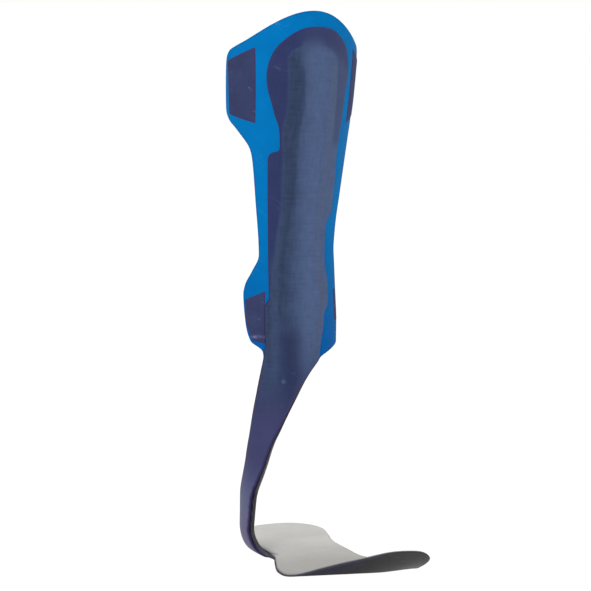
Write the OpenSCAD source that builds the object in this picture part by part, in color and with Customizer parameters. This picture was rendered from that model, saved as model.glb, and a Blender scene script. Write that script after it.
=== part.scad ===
// Ankle-foot orthosis for the right foot: shin shell, lateral strut and foot plate,
// built up from the laminate pieces that are laid on one mould.
// Toes point along -Y, the outer (lateral) side is -X, the floor is z = 0.

/* [Shin shell] */
// Height of the top edge above the floor, at the middle
shell_top = 412; // [400:1:430]
// Height of the lowest point of the shell, where the strut takes over
shell_low = 150; // [146:1:154]
// Height of the narrow waist
waist_z = 234; // [228:1:240]
// Radius of the shell at the calf
calf_r = 57; // [52:0.5:62]
// Radius of the shell at the waist
waist_r = 47; // [44:0.5:50]
// Half angle that the upper tabs wrap round the leg
upper_wrap = 72; // [66:1:78]
// Half angle of the waist
waist_wrap = 40; // [38:0.5:43]
// Half angle that the lower tabs wrap round the leg
lower_wrap = 58; // [54:1:62]
// Rise of the top edge from the tabs to the middle
crown_h = 26; // [20:1:32]
// Height of the upper tabs
tab_h = 48; // [44:1:54]
// Thickness of the coloured outer layer
shell_t = 1.2; // [0.8:0.1:2]
// Thickness of the dark inner skin
skin_t = 0.5; // [0.4:0.1:1]
// Bond line between two layers
bond = 0.2; // [0.15:0.01:0.3]

/* [Spine] */
// Thickness of the bulb-topped panel and of the rails beside the ridge
panel_t = 0.85; // [0.6:0.05:1.5]
// Half angle of the bulb at its widest
bulb_wrap = 36; // [32:1:39]
// Height of the raised ridge over the panel
ridge_h = 2.6; // [1.5:0.1:4]
// Thickness of the ridge at its edges
ridge_edge = 0.4; // [0.3:0.05:0.8]
// Thickness of the strap patches
patch_t = 0.9; // [0.6:0.05:1.5]

/* [Strut] */
// Width of the strut where it bends
strut_w = 26; // [22:0.5:30]
// Width of the strut where it joins the shell
strut_top_w = 48; // [44:0.5:52]
// Thickness of the carbon core of the strut
strut_t = 3.4; // [2.6:0.1:4.2]
// Radius of the leg surface at the ankle
ankle_r = 40; // [38:0.5:43]
// Height of the middle of the bending stretch
flex_z = 85; // [80:1:90]
// Length of the bending stretch
flex_len = 22; // [16:1:28]
// Radius of the curl that turns the strut under the foot
curl_r = 20; // [18:0.5:22]

/* [Foot plate] */
// Length of the foot plate, heel to toe
plate_len = 263; // [250:1:276]
// Distance from the leg axis to the back of the heel
heel_back = 62; // [58:1:66]
// Width across the heel
heel_w = 66; // [60:1:72]
// Width across the ball of the foot
ball_w = 100; // [92:1:108]
// Distance from the back of the heel to the widest place of the ball
ball_at = 185; // [180:1:190]
// Thickness of the structural laminate
plate_t = 2.4; // [1.8:0.1:3.2]
// Thickness of the light top cover
cover_t = 0.7; // [0.5:0.1:1.5]
// Rise of the plate under the arch
arch_rise = 1.5; // [0.5:0.5:4]
// Radius of the upturned toe
toe_radius = 160; // [145:1:190]
// Angle of the toe break across the foot
toe_skew = 10; // [0:1:14]
// Distance from the leg axis to the line where the toe starts to rise
toe_rise_at = 102; // [98:1:106]
// Distance from the leg axis to the line where the toe flexes
toe_break_at = 112; // [109:1:116]

/* [Hidden] */
blue = [0.01, 0.46, 0.73];
navy = [0.21, 0.25, 0.39];
slate = [0.28, 0.35, 0.47];
black = [0.1, 0.1, 0.12];
grey = [0.75, 0.74, 0.73];
tab_top = shell_top - crown_h;
tab_low = tab_top - tab_h;
row_step = 10;
col_step = 6;
seam = 0.3;
eps = 0.01;

// ---- curves ----
// Smooth curve through points [x, y] with rising x, which never overshoots them
function slope(p, i) = (p[i + 1][1] - p[i][1]) / (p[i + 1][0] - p[i][0]);
function tangent(p, i) =
    i == 0 ? slope(p, 0) :
    i == len(p) - 1 ? slope(p, i - 1) :
    slope(p, i - 1) * slope(p, i) <= 0 ? 0 :
    2 * slope(p, i - 1) * slope(p, i) / (slope(p, i - 1) + slope(p, i));
function span(p, x, i = 0) = i >= len(p) - 2 || x <= p[i + 1][0] ? i : span(p, x, i + 1);
function hermite(h, s, y0, m0, y1, m1) =
    (2 * s ^ 3 - 3 * s ^ 2 + 1) * y0 + (s ^ 3 - 2 * s ^ 2 + s) * h * m0
    + (3 * s ^ 2 - 2 * s ^ 3) * y1 + (s ^ 3 - s ^ 2) * h * m1;
function curve_in(p, x, i) = let (h = p[i + 1][0] - p[i][0])
    hermite(h, (x - p[i][0]) / h, p[i][1], tangent(p, i), p[i + 1][1], tangent(p, i + 1));
function curve(p, x) = curve_in(p, max(p[0][0], min(p[len(p) - 1][0], x)), span(p, x));

// Rows between the heights of the points p, at most step apart
function fill(a, b, step) = let (n = max(1, ceil((b - a) / step)))
    [for (i = [0:n - 1]) a + (b - a) * i / n];
function rows(z, step) = concat(
    [for (i = [0:len(z) - 2]) each fill(z[i], z[i + 1], step)], [z[len(z) - 1]]);
function heights(p) = [for (q = p) q[0]];

// ---- leg surface ----
function leg_x(z) = curve([[0, -13], [45, -12.5], [75, -10], [165, -10], [shell_top, -5.5]], z);
function leg_y(z) = curve([[0, -26], [30, -27], [75, -22], [120, -4], [165, 10],
    [waist_z - 4, 12], [calf_height(0.35), 12], [calf_height(1), 10]], z);
function leg_r(z) = curve([[75, ankle_r], [120, ankle_r + 1.5], [165, ankle_r + 5],
    [waist_z, waist_r], [calf_height(0.71), (waist_r + calf_r) / 2],
    [calf_height(1), calf_r - 2], [tab_top - 10, calf_r]], z);
// Height at share s of the way from the waist to the calf, where the upper tabs begin
function calf_height(s) = waist_z + (tab_low + 10 - waist_z) * s;
// Point at angle t from the front (lateral is negative), height z, off outside the surface
function on_leg(t, z, off) = [
    leg_x(z) + (leg_r(z) + off) * sin(t), leg_y(z) - (leg_r(z) + off) * cos(t), z];

// ---- strut route on the leg surface ----
// Angle of the middle of the strut, as it winds from the front to the outer side
function strut_mid(z) = curve([[20, -95], [44, -89.5], [60, -79.9], [80, -67], [98, -50.7],
    [116, -35.7], [134, -21.7], [shell_low, -6.8]], z);
function strut_half(z) = curve([[90, strut_w / 2], [116, strut_w / 2 + 2.9],
    [134, strut_w / 2 + 5.8], [shell_low, strut_top_w / 2]], z);
// Angle of the strut's rear (-1) or front (1) edge
function strut_edge(z, side) = strut_mid(z) + side * strut_half(z) / leg_r(z) * 180 / PI;

// ---- outlines on the leg surface: [height, angle] ----
shell_lateral = [
    [shell_low, strut_edge(shell_low, -1)], [shell_low + 5, -38], [shell_low + 8, -42],
    [shell_low + 12, 8 - lower_wrap],
    [shell_low + 25, 3 - lower_wrap], [waist_z - 36, 1 - lower_wrap],
    [waist_z - 29, 3 - lower_wrap], [waist_z - 18, -waist_wrap - 7], [waist_z - 6, -waist_wrap],
    [calf_height(0.3), -waist_wrap - 3], [tab_low - 38, -waist_wrap - 6],
    [tab_low - 30, -waist_wrap - 8], [tab_low - 14, 10 - upper_wrap],
    [tab_low - 7, 2 - upper_wrap], [tab_low, -upper_wrap - 1], [tab_low + 22, -upper_wrap],
    [tab_top - 8, 2 - upper_wrap], [tab_top - 2, 6 - upper_wrap], [tab_top, 13 - upper_wrap]];
shell_medial = [
    [shell_low, strut_edge(shell_low, 1)], [shell_low + 3, 35], [shell_low + 6, 48],
    [shell_low + 10, lower_wrap + 10], [shell_low + 26, lower_wrap + 6],
    [waist_z - 42, lower_wrap - 2], [waist_z - 12, waist_wrap + 7], [waist_z, waist_wrap + 4],
    [waist_z + 16, waist_wrap + 5], [calf_height(0.37), waist_wrap + 11],
    [tab_low - 32, waist_wrap + 18], [tab_low - 19, waist_wrap + 22], [tab_low, upper_wrap],
    [tab_low + 22, upper_wrap], [tab_top - 8, upper_wrap - 2], [tab_top - 2, upper_wrap - 6],
    [tab_top, upper_wrap - 13]];
panel_side = 22;
bulb_low = tab_top - 80;
bulb_top = tab_top + 14;
rail_top = bulb_low - 9;
// Height at share s of the way from the waist to the top of the inner rail
function rail_height(s) = waist_z + (rail_top - waist_z) * s;
panel_lateral = [
    [shell_low + seam, -panel_side], [bulb_low - 8, -panel_side], [bulb_low - 4, -panel_side],
    [bulb_low, -panel_side], [tab_low - 15, -panel_side - 1],
    [tab_low - 4, 9 - bulb_wrap], [tab_low + 6, 6 - bulb_wrap], [tab_low + 16, 3 - bulb_wrap],
    [tab_top - 22, 2 - bulb_wrap], [tab_top - 12, 4 - bulb_wrap], [tab_top - 2, 9 - bulb_wrap],
    [tab_top + 7, 18 - bulb_wrap], [bulb_top - 2, 27 - bulb_wrap], [bulb_top, 34 - bulb_wrap]];
panel_medial = [
    [shell_low + seam, panel_side], [bulb_low - 8, panel_side], [bulb_low - 4, bulb_wrap - 1],
    [tab_low + 14, bulb_wrap + 2], [tab_top - 20, bulb_wrap + 4], [tab_top - 6, bulb_wrap + 1],
    [tab_top + 2, bulb_wrap - 3], [tab_top + 7, bulb_wrap - 9], [bulb_top - 2, bulb_wrap - 17],
    [bulb_top, bulb_wrap - 25]];
rail_gap = 0.6;
rail_side = 32;
lateral_rail_outer = [
    [shell_low + 44, -rail_side + 2], [waist_z, -rail_side + 1], [bulb_low - 3, -rail_side],
    [bulb_low + 1, -rail_side + 2.5]];
medial_rail_outer = [
    [shell_low + 12, 25], [shell_low + 24, 28.3], [shell_low + 34, 29], [shell_low + 38, 34],
    [shell_low + 44, 34.5], [waist_z - 26, 33], [waist_z - 12, 28],
    [rail_height(0.08), 27], [rail_height(0.3), 28], [rail_height(0.41), 34],
    [rail_height(0.76), 36], [rail_top, 35]];
ridge_low = shell_low - 32;
ridge_lateral = [
    [ridge_low, -44], [shell_low, -31], [waist_z - 17, -29], [waist_z + 6, -26],
    [rail_height(0.57), -22], [bulb_low + 4, -22], [tab_low + 8, -17], [tab_top - 10, -18],
    [tab_top - 4, -15], [tab_top, -8]];
ridge_medial = [
    [ridge_low, -15], [shell_low - 14, 2], [shell_low, 12], [shell_low + 12, 16.5],
    [shell_low + 25, 21], [waist_z - 40, 24], [waist_z, 21],
    [rail_height(0.57), 24], [bulb_low, 27], [tab_low + 15, 26], [tab_top - 10, 24],
    [tab_top - 4, 20], [tab_top, 12]];

// ---- laminate sheets ----
// Closed slab between an outer and an inner grid of points, each a list of rows
function cell(a, b, c, d) = [[a, b, c], [a, c, d]];
module slab(outer, inner) {
    nr = len(outer);
    nc = len(outer[0]);
    half = nr * nc;
    o = function (i, j) i * nc + j;
    n = function (i, j) half + i * nc + j;
    face_cells = [for (i = [0:nr - 2]) for (j = [0:nc - 2]) each concat(
        cell(o(i, j), o(i + 1, j), o(i + 1, j + 1), o(i, j + 1)),
        cell(n(i, j), n(i, j + 1), n(i + 1, j + 1), n(i + 1, j)))];
    end_cells = [for (j = [0:nc - 2]) each concat(
        cell(o(0, j), o(0, j + 1), n(0, j + 1), n(0, j)),
        cell(o(nr - 1, j), n(nr - 1, j), n(nr - 1, j + 1), o(nr - 1, j + 1)))];
    side_cells = [for (i = [0:nr - 2]) each concat(
        cell(n(i, 0), n(i + 1, 0), o(i + 1, 0), o(i, 0)),
        cell(o(i, nc - 1), o(i + 1, nc - 1), n(i + 1, nc - 1), n(i, nc - 1)))];
    polyhedron(
        points = concat([for (r = outer) each r], [for (r = inner) each r]),
        faces = concat(face_cells, end_cells, side_cells));
}

// Number of columns that keeps the widest row within the column step
function columns(left, right, zs) =
    max(2, ceil(max([for (z = zs) curve(right, z) - curve(left, z)]) / col_step));

// Sheet on the leg surface between two side outlines, from offset low to offset low + thick.
// lift raises the rows towards the top edge, and swell adds height inside the sheet.
module sheet(left, right, zs, low, thick,
        lift = function (t, z) 0, swell = function (u, z) 0) {
    nc = columns(left, right, zs);
    grid = function (raised) [for (z = zs) [for (j = [0:nc]) let (
        u = j / nc,
        t = curve(left, z) * (1 - u) + curve(right, z) * u,
        off = raised ? low + thick + swell(u, z) : low)
        on_leg(t, z + lift(t, z), off)]];
    slab(grid(true), grid(false));
}

// Lift that arches the top edge of the shell, fading out below the tabs' corners
crown_mid = 3;
crown_span = upper_wrap - 9;
crown_fade = 60;
crown = function (t, z) let (s = max(0, min(1, (z - tab_top + crown_fade) / crown_fade)))
    t > crown_mid
        ? crown_h * s ^ 2 * cos(90 * min(1, (t - crown_mid) / crown_span)) ^ 1.6
        : crown_h * s ^ 2 * cos(90 * min(1, (crown_mid - t) / (crown_span + 3))) ^ 1.4;

shell_rows = rows(heights(shell_lateral), row_step);

module shell_outer_layer() {
    color(blue)
        sheet(shell_lateral, shell_medial, shell_rows, -shell_t, shell_t, crown);
}

module shell_inner_skin() {
    color(black)
        sheet(shell_lateral, shell_medial, shell_rows, -shell_t - bond - skin_t, skin_t, crown);
}

module spine_panel() {
    color(navy)
        sheet(panel_lateral, panel_medial, rows(heights(panel_lateral), row_step), bond, panel_t);
}

// Rounds the ridge over towards its edges, and lets it run out at its lower end
ridge_shoulder = 0.16;
ridge_swell = function (u, z) let (
    side = min(1, min(u, 1 - u) / ridge_shoulder),
    top = min(1, (tab_top - z) / 8),
    foot = min(1, (z - ridge_low) / 50))
    (ridge_h - ridge_edge) * sin(90 * side) * sin(90 * top) * sin(90 * foot);

module spine_ridge() {
    color(slate)
        sheet(ridge_lateral, ridge_medial, rows(heights(ridge_lateral), row_step),
            bond + panel_t + bond, ridge_edge, swell = ridge_swell);
}

module lateral_rail() {
    zs = rows(heights(lateral_rail_outer), row_step);
    inner_side = [[zs[0], -panel_side - rail_gap], [zs[len(zs) - 1], -panel_side - rail_gap]];
    color(navy)
        sheet(lateral_rail_outer, inner_side, zs, bond, panel_t);
}

module medial_rail() {
    zs = rows(heights(medial_rail_outer), row_step);
    inner_side = [[zs[0], panel_side + rail_gap], [zs[len(zs) - 1], panel_side + rail_gap]];
    color(navy)
        sheet(inner_side, medial_rail_outer, zs, bond, panel_t);
}

// Strap patch on the outer (-1) or inner (1) side of the shell. rear and front are its side
// outlines on the outer side, where angles are negative. Its lower and upper edges climb by
// climb_low and climb_high from the front to the rear.
function on_side(p, side) = [for (q = p) [q[0], -side * q[1]]];
module patch(rear, front, zs, side, climb_low, climb_high) {
    a = on_side(rear, side);
    b = on_side(front, side);
    low = zs[0];
    high = zs[len(zs) - 1];
    reach = curve(front, high) - curve(rear, high);
    slant = function (t, z) (curve(front, high) + side * t) / reach
        * (climb_low + (climb_high - climb_low) * (z - low) / (high - low));
    color(navy)
        sheet(side < 0 ? a : b, side < 0 ? b : a, zs, bond, patch_t, slant);
}

patch_inset = 3;
outer_patch_front = 43;
inner_patch_front = 47;
module upper_patch(side, front_at) {
    low = tab_low - 10;
    high = tab_top - 1;
    rear = [[low, patch_inset - upper_wrap], [high, patch_inset - upper_wrap]];
    front = [[low, -front_at], [high, -front_at]];
    patch(rear, front, rows([low, high], row_step), side, 7, -10);
}

module upper_lateral_patch() {
    upper_patch(-1, outer_patch_front);
}

module upper_medial_patch() {
    upper_patch(1, inner_patch_front);
}

module lower_lateral_patch() {
    low = shell_low + 12;
    mid = shell_low + 25;
    high = waist_z - 33;
    edge = -rail_side - 2;
    rear = [[low, 10 - lower_wrap], [mid, 4 - lower_wrap], [high, patch_inset - lower_wrap]];
    front = [[low, edge - 1], [mid, edge], [high, edge]];
    patch(rear, front, rows([low, mid, high], row_step), -1, 1, -7);
}

// Narrow patch along the inner edge of the shell, above the ankle
edge_patch_h = 23;
module lower_medial_patch() {
    low = shell_low + 28;
    high = low + edge_patch_h;
    at_edge = function (z) patch_inset - curve(shell_medial, z);
    rear = [[low, at_edge(low)], [high, at_edge(high)]];
    front = [[low, at_edge(low) + 11], [high, at_edge(high) + 6]];
    patch(rear, front, rows([low, high], row_step), 1, 0, 0);
}

// ---- strut ----
flex_top = flex_z + flex_len / 2;
flex_low = flex_z - flex_len / 2;
curl_top = curl_r + 2;
curl_step = 15;
root_x = -38;
root_rear = -10;
root_front = -52;
strut_columns = 5;
strut_step = 9;

// Point of the strut at share u of its width, height z
function on_strut(u, z, off) =
    on_leg(strut_edge(z, -1) * (1 - u) + strut_edge(z, 1) * u, z, off);

// Point of the curl at share u of the width and angle a: 0 is upright, 90 lies flat.
// The core thins from the strut's thickness to the plate's on the way.
function curl_thin(off, a) = off < 0 ? off * (1 + (plate_t / strut_t - 1) * a / 90) : off;
function on_curl(u, a, off) = let (
    d = curl_thin(off, a),
    wall = on_strut(u, curl_top, d),
    foot_y = root_rear + (root_front - root_rear) * u,
    y = wall[1] + (foot_y - wall[1]) * (a / 90) ^ 2,
    low = sole_z(heel_line(root_x, foot_y)))
    [root_x - (root_x - wall[0]) * cos(a), y, curl_top - (curl_top - low + d) * sin(a)];

module strut_part(low, high, off, thick, shade) {
    zs = rows([low, high], strut_step);
    grid = function (o) [for (z = zs) [for (j = [0:strut_columns])
        on_strut(j / strut_columns, z, o)]];
    color(shade)
        slab(grid(off + thick), grid(off));
}

module strut_foot(high, last, off, thick, shade) {
    zs = rows([curl_top, high], strut_step);
    turns = [for (a = [last:-curl_step:1]) a];
    grid = function (o) concat(
        [for (a = turns) [for (j = [0:strut_columns]) on_curl(j / strut_columns, a, o)]],
        [for (z = zs) [for (j = [0:strut_columns]) on_strut(j / strut_columns, z, o)]]);
    color(shade)
        slab(grid(off + thick), grid(off));
}

module strut_upper_core() {
    strut_part(flex_top + seam, shell_low - seam, -strut_t, strut_t, black);
}

module strut_upper_face() {
    strut_part(flex_top + seam, shell_low - seam, bond, panel_t, navy);
}

module strut_flexure_core() {
    strut_part(flex_low, flex_top, -strut_t, strut_t, black);
}

module strut_flexure_face() {
    strut_part(flex_low, flex_top, bond, panel_t, navy);
}

module strut_lower_core() {
    strut_foot(flex_low - seam, 90, -strut_t, strut_t, black);
}

module strut_lower_face() {
    strut_foot(flex_low - seam, 60, bond, panel_t, navy);
}

// ---- foot plate ----
toe_tip = heel_back - plate_len;
ball_y = heel_back - ball_at;
arch_front = 92;
arch_back = 12;
// Distance behind the toe break's direction through the origin
function heel_line(x, y) = x * sin(toe_skew) + y * cos(toe_skew);
// Height of the underside at distance d along the foot, up to where the toe rises
function sole_z(d) = d > -arch_back || d < -arch_front ? 0 :
    arch_rise * (1 - cos(360 * (-d - arch_back) / (arch_front - arch_back))) / 2;

// Side profile of one layer, from offset a to offset b over the underside
arch_points = 16;
overhang = 30;
toe_sweep = 48;
toe_facet = 3;
function side_curve(o) = concat(
    [[heel_back + overhang, o]],
    [for (i = [0:arch_points]) let (d = -arch_back - (arch_front - arch_back) * i / arch_points)
        [d, sole_z(d) + o]],
    [for (a = [0:toe_facet:toe_sweep])
        [-toe_rise_at - (toe_radius - o) * sin(a), toe_radius - (toe_radius - o) * cos(a)]]);
function backwards(p) = [for (i = [len(p) - 1:-1:0]) p[i]];

// Closed smooth outline through the points p
outline_steps = 4;
function knot(a, b, c, d, s) = 0.5 * (2 * b + (c - a) * s + (2 * a - 5 * b + 4 * c - d) * s ^ 2
    + (3 * b - a - 3 * c + d) * s ^ 3);
function smooth_loop(p) = let (n = len(p)) [for (i = [0:n - 1]) for (s = [0:outline_steps - 1])
    knot(p[(i + n - 1) % n], p[i], p[(i + 1) % n], p[(i + 2) % n], s / outline_steps)];

// Outline of the sole: round heel, narrow arch, wide ball and round toe
heel_mid = 3;
heel_medial = heel_mid + heel_w / 2;
heel_lateral = heel_mid - heel_w / 2;
ball_lateral = -ball_w / 2 - 6;
ball_medial = ball_w / 2 - 4;
sole_outline = smooth_loop([
    [heel_mid, heel_back], [heel_medial - 17, heel_back - 2], [heel_medial - 7, heel_back - 10],
    [heel_medial - 1, heel_back - 22], [heel_medial, heel_back - 36],
    [heel_medial - 4, heel_back - 54], [27, -10], [23, -32], [20.3, -56], [21, -82],
    [ball_medial - 15, ball_y + 24], [ball_medial - 4, ball_y + 10],
    [ball_medial, ball_y - 4], [ball_medial - 5, ball_y - 20], [ball_medial - 13, ball_y - 37],
    [28, toe_tip + 24], [25, toe_tip + 9], [17, toe_tip + 1.5], [6, toe_tip + 0.5],
    [-9, toe_tip + 4], [-24, toe_tip + 14], [-36, toe_tip + 23],
    [ball_lateral + 10, ball_y - 44], [ball_lateral + 4, ball_y - 31],
    [ball_lateral + 1, ball_y - 15], [ball_lateral, ball_y + 3],
    [ball_lateral + 1.5, ball_y + 18], [ball_lateral + 4, ball_y + 32],
    [ball_lateral + 11, ball_y + 53], [root_x - 3, root_front], [root_x, root_front + 20],
    [root_x + 1, root_rear], [heel_lateral, heel_back - 50],
    [heel_lateral + 1, heel_back - 32], [heel_lateral + 7, heel_back - 15],
    [heel_lateral + 17, heel_back - 4]]);

// Half of the foot plate that lies behind (1) or ahead of (-1) the toe break
module half_foot(part) {
    reach = 400;
    rotate([0, 0, -toe_skew])
        translate([-reach / 2, part > 0 ? seam / 2 - toe_break_at : -reach - toe_break_at - seam / 2,
            -reach / 2])
            cube([reach, reach, reach]);
}

// One layer of the foot plate, cut to the outline, with the notch for the strut's root
module foot_layer(a, b, part, shade) {
    wide = 300;
    tall = 80;
    notch = 20;
    color(shade)
        difference() {
            intersection() {
                linear_extrude(height = tall)
                    polygon(sole_outline);
                rotate([0, 0, -toe_skew])
                    rotate([90, 0, 90])
                        translate([0, 0, -wide / 2])
                            linear_extrude(height = wide)
                                polygon(concat(side_curve(a), backwards(side_curve(b))));
                half_foot(part);
            }
            if (part > 0)
                translate([root_x + seam - notch, root_front - seam, -eps])
                    cube([notch, root_rear - root_front + 2 * seam, tall]);
        }
}

module footplate() {
    foot_layer(0, plate_t, 1, black);
}

module footplate_cover() {
    foot_layer(plate_t + bond, plate_t + bond + cover_t, 1, grey);
}

module toe_plate() {
    foot_layer(0, plate_t, -1, black);
}

module toe_cover() {
    foot_layer(plate_t + bond, plate_t + bond + cover_t, -1, grey);
}

shell_outer_layer();
shell_inner_skin();
spine_panel();
spine_ridge();
lateral_rail();
medial_rail();
upper_lateral_patch();
upper_medial_patch();
lower_lateral_patch();
lower_medial_patch();
strut_upper_core();
strut_upper_face();
strut_flexure_core();
strut_flexure_face();
strut_lower_core();
strut_lower_face();
footplate();
footplate_cover();
toe_plate();
toe_cover();
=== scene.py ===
"""The looks of a carbon-composite ankle-foot orthosis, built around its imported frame."""
import bisect
import math

import bpy
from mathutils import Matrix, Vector, geometry


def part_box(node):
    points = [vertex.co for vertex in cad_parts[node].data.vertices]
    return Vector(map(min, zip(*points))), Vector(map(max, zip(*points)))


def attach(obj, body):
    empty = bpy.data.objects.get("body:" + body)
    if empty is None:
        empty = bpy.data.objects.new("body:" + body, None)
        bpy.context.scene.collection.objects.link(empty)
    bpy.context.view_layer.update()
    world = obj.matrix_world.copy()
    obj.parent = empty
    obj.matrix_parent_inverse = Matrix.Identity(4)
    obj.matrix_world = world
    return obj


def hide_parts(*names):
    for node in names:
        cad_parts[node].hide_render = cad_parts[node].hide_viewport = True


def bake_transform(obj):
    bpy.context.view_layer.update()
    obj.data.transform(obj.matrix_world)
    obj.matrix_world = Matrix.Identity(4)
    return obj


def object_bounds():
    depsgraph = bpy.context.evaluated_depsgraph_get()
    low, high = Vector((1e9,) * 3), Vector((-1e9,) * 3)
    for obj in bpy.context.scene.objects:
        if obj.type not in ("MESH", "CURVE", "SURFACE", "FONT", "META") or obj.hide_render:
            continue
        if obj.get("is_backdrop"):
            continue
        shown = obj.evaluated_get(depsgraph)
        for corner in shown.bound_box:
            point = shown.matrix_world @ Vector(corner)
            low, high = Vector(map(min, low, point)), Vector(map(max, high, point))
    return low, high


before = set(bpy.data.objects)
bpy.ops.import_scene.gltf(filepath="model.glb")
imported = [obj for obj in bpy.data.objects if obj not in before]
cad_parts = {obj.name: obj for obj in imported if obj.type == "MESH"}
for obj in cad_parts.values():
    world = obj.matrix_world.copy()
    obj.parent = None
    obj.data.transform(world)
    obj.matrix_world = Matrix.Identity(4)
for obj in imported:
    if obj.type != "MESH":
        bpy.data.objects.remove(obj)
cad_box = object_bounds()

MM = 0.001


def edge_of(node, axis, side):
    """Whole millimetre at which a node of the frame ends, on its low (0) or high (1) side."""
    return round(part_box(node)[side][axis] / MM)


# ---------------------------------------------------------------- sizes, in millimetres
SHELL_TOP = edge_of("shell_outer_layer", 2, 1)
SHELL_LOW = edge_of("shell_outer_layer", 2, 0)
HEEL_BACK = edge_of("footplate", 1, 1)
TOE_TIP = edge_of("toe_plate", 1, 0)
CROWN_H = 26
CROWN_MID = 3
CROWN_FADE = 60
TAB_H = 48
TAB_TOP = SHELL_TOP - CROWN_H
TAB_LOW = TAB_TOP - TAB_H
WAIST_Z = 234
CALF_R = 57
WAIST_R = 47
ANKLE_R = 40
UPPER_WRAP = 72
WAIST_WRAP = 40
LOWER_WRAP = 58
BULB_WRAP = 36
PANEL_SIDE = 22
BULB_LOW = TAB_TOP - 80
BULB_TOP = TAB_TOP + 14
RAIL_TOP = BULB_LOW - 9
RAIL_LOW = SHELL_LOW + 44
FILM_T = 0.45
LAMINATE_T = 1.9
SKIN_T = 1.05
RIDGE_H = 2.8
PATCH_T = 0.4
FOLD_RISE = 0.35
STRUT_W = 26
STRUT_TOP_W = 48
STRUT_T = 4.1
# Height at which the curl under the strut starts, and at which the root is parted from the strut
CURL_TOP = 22
STRUT_CUT = 50
# Where the strut's root leaves the plate
ROOT_X = -38
ROOT_REAR = -10
ROOT_FRONT = -52
PLATE_T = 2.4
TOE_T = 1.3
COVER_T = 0.9
ARCH_RISE = 1.5
BORDER_RISE = 1.8
FLOOR_GAP = 0.02
BARE_EDGE = 1.2
# Distances ahead of the leg's axis: the arch, the toe's rise and break, and the thinning plate
ARCH_BACK = 12
ARCH_FRONT = 92
TOE_RISE_AT = 102
THIN_FROM = 66
THIN_TO = 126
# The toe's upward curve, and how askew its break lies
TOE_RADIUS = 160
TOE_SKEW = math.radians(10)
FLEX_LOW = 74
FLEX_TOP = 96
EDGE_R = 1.1
FILM_R = 0.4
COVER_R = 0.6


# ---------------------------------------------------------------- curves
class Curve:
    """Smooth curve through points (x, y) with rising x, which never overshoots them."""

    def __init__(self, *points):
        self.x, self.y = zip(*points)
        pairs = list(zip(points, points[1:]))
        slopes = [(b[1] - a[1]) / (b[0] - a[0]) for a, b in pairs]
        inner = [0 if a * b <= 0 else 2 * a * b / (a + b) for a, b in zip(slopes, slopes[1:])]
        self.slope = [slopes[0], *inner, slopes[-1]]

    def __call__(self, x):
        x = min(max(x, self.x[0]), self.x[-1])
        i = min(max(bisect.bisect_left(self.x, x) - 1, 0), len(self.x) - 2)
        h = self.x[i + 1] - self.x[i]
        s = (x - self.x[i]) / h
        return ((2 * s**3 - 3 * s**2 + 1) * self.y[i] + (s**3 - 2 * s**2 + s) * h * self.slope[i]
                + (3 * s**2 - 2 * s**3) * self.y[i + 1] + (s**3 - s**2) * h * self.slope[i + 1])


def clamp(x):
    return min(1.0, max(0.0, x))


def ease(x):
    """0 below 0, 1 above 1, and smooth between."""
    x = clamp(x)
    return x * x * (3 - 2 * x)


def mix(a, b, s):
    return a + (b - a) * s


def spread(a, b, step):
    """Evenly spaced values from a to b, both included, at most step apart."""
    n = max(1, math.ceil(abs(b - a) / step))
    return [mix(a, b, i / n) for i in range(n + 1)]


# ---------------------------------------------------------------- the leg surface
def calf_height(share):
    """Height at a share of the way from the waist to just above the tabs' lower edge."""
    return WAIST_Z + (TAB_LOW + 10 - WAIST_Z) * share


def rail_height(share):
    """Height at a share of the way from the waist to the medial rail's top."""
    return WAIST_Z + (RAIL_TOP - WAIST_Z) * share


leg_x = Curve((0, -13), (45, -12.5), (75, -10), (165, -10), (SHELL_TOP, -5.5))
leg_y = Curve((0, -26), (30, -27), (75, -22), (120, -4), (165, 10), (WAIST_Z - 4, 12),
              (calf_height(0.35), 12), (calf_height(1), 10))
leg_r = Curve((75, ANKLE_R), (120, ANKLE_R + 1.5), (165, ANKLE_R + 5), (WAIST_Z, WAIST_R),
              (calf_height(0.71), (WAIST_R + CALF_R) / 2), (calf_height(1), CALF_R - 2),
              (TAB_TOP - 10, CALF_R))


def on_leg(t, z, out):
    """Point at angle t from the front, in degrees with lateral negative, out from the surface."""
    r = leg_r(z) + out
    a = math.radians(t)
    return (leg_x(z) + r * math.sin(a), leg_y(z) - r * math.cos(a), z)


def flat(t, z):
    """The place of a point of the leg surface when the surface is rolled out flat."""
    return (math.radians(t) * leg_r(z), z)


def angle(s, z):
    """Angle from the front, in degrees, of a place on the rolled-out surface."""
    return math.degrees(s / leg_r(z))


def crown(t, z):
    """Lift that arches the top edge, fading out below the corners of the tabs."""
    share = clamp((z - TAB_TOP + CROWN_FADE) / CROWN_FADE)
    reach, fall = (UPPER_WRAP - 9, 1.6) if t > CROWN_MID else (UPPER_WRAP - 6, 1.4)
    across = min(1, abs(t - CROWN_MID) / reach)
    return CROWN_H * share**2 * max(0, math.cos(math.pi / 2 * across))**fall


strut_mid = Curve((20, -95), (44, -89.5), (60, -79.9), (80, -67), (98, -50.7), (116, -35.7),
                  (134, -21.7), (SHELL_LOW, -6.8))
strut_half = Curve((90, STRUT_W / 2), (116, STRUT_W / 2 + 2.9), (134, STRUT_W / 2 + 5.8),
                   (SHELL_LOW, STRUT_TOP_W / 2))


def strut_edge(z, side):
    """Angle of the strut's rear (-1) or front (1) edge."""
    return strut_mid(z) + side * math.degrees(strut_half(z) / leg_r(z))


def on_strut(u, z, out):
    """Point of the strut, with u from 0 at its rear edge to 1 at its front edge."""
    return on_leg(mix(strut_edge(z, -1), strut_edge(z, 1), u), z, out)


# ---------------------------------------------------------------- the foot surface
def heel_line(x, y):
    """How far behind the leg's axis a point lies, square to the toe break."""
    return x * math.sin(TOE_SKEW) + y * math.cos(TOE_SKEW)


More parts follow.
